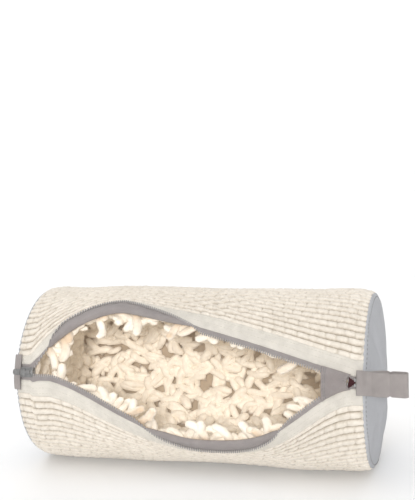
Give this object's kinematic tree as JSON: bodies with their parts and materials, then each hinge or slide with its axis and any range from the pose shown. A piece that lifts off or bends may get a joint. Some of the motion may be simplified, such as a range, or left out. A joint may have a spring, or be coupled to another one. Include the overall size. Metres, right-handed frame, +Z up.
{
  "type": "shoe bag",
  "caption": "Soft drum-shaped shoe bag, ribbed chenille outside and long chenille pile inside, with a side zip shown open, flat end panels and a webbing loop.",
  "frame": {"origin": "middle of the flat stretch that the bag rests on, halfway between its two end seams", "axes": "+X along the bag towards the end with the webbing loop, -Y towards the mouth, +Z up; -Z out of the resting face"},
  "size_m": [0.4323, 0.1984, 0.1924],
  "materials": {
    "outer_panel": "ribbed chenille, soft matt pile",
    "band": "smooth plain cloth",
    "zip_tape": "woven polyester tape",
    "zip_teeth": "moulded nylon",
    "slider_metal": "painted zinc, satin grey",
    "spring_steel": "plain steel",
    "garage": "elastic tape, gathered",
    "end_cloth": "plain weave polyester",
    "binding": "woven binding tape",
    "lining": "knitted base cloth",
    "pile": "long chenille noodles",
    "webbing": "flat woven webbing",
    "cream_thread": "sewing thread",
    "grey_thread": "sewing thread",
    "red_thread": "bar tack thread"
  },
  "bodies": {
    "root": {"outer_panel": "outer_panel", "zip_bottom_stop": "slider_metal", "zip_top_stops": "slider_metal", "zip_garage": "garage", "left_end_panel": "end_cloth", "right_end_panel": "end_cloth", "left_seam_binding": "binding", "right_seam_binding": "binding", "lining_panel": "lining", "noodle_pile": "pile", "left_end_lining": "lining", "right_end_lining": "lining", "left_end_noodles": "pile", "right_end_noodles": "pile", "left_tab": "webbing", "left_seam_stitches": "grey_thread", "right_seam_stitches": "grey_thread", "garage_stitches": "grey_thread", "zip_end_bartack": "red_thread"},
    "upper_lip": {"upper_band": "band", "upper_zip_tape": "zip_tape", "upper_zip_teeth": "zip_teeth", "upper_topstitch": "cream_thread"},
    "lower_lip": {"lower_band": "band", "lower_zip_tape": "zip_tape", "lower_zip_teeth": "zip_teeth", "lower_topstitch": "cream_thread"},
    "slider": {"slider_body": "slider_metal", "slider_cap": "slider_metal", "slider_lock_spring": "spring_steel"},
    "pull": {"slider_pull": "slider_metal"},
    "loop": {"right_loop": "webbing"}
  },
  "joints": [
    {"name": "zip_slide", "type": "slide", "parent": "root", "child": "slider", "axis": [1, 0, 0], "range_m": [0, 0.342], "deforming": ["zip_garage", "garage_stitches"]},
    {"name": "upper_lip_close", "type": "hinge", "parent": "root", "child": "upper_lip", "pos_m": [0, 0, 0.094], "axis": [1, 0, 0], "range_deg": [0, 43.51], "deforming": ["upper_band", "upper_zip_tape", "upper_zip_teeth", "upper_topstitch"]},
    {"name": "lower_lip_close", "type": "hinge", "parent": "root", "child": "lower_lip", "pos_m": [0, 0, 0.094], "axis": [1, 0, 0], "range_deg": [-43.01, 0], "deforming": ["lower_band", "lower_zip_tape", "lower_zip_teeth", "lower_topstitch"]},
    {"name": "pull_swing", "type": "hinge", "parent": "slider", "child": "pull", "pos_m": [-0.1781, -0.09564, 0.12052], "axis": [0, 0.2672, 0.9636], "range_deg": [0, 140]},
    {"name": "loop_flex", "type": "hinge", "parent": "root", "child": "loop", "pos_m": [0.193, -0.09554, 0.12019], "axis": [0, 0, 1], "range_deg": [-90, 60], "stiffness_Nm_per_rad": 0.02}
  ],
  "couplings": [
    {"joint": "upper_lip_close", "follows": "zip_slide", "rad_per_m": 2.2199},
    {"joint": "lower_lip_close", "follows": "zip_slide", "rad_per_m": -2.1944}
  ]
}
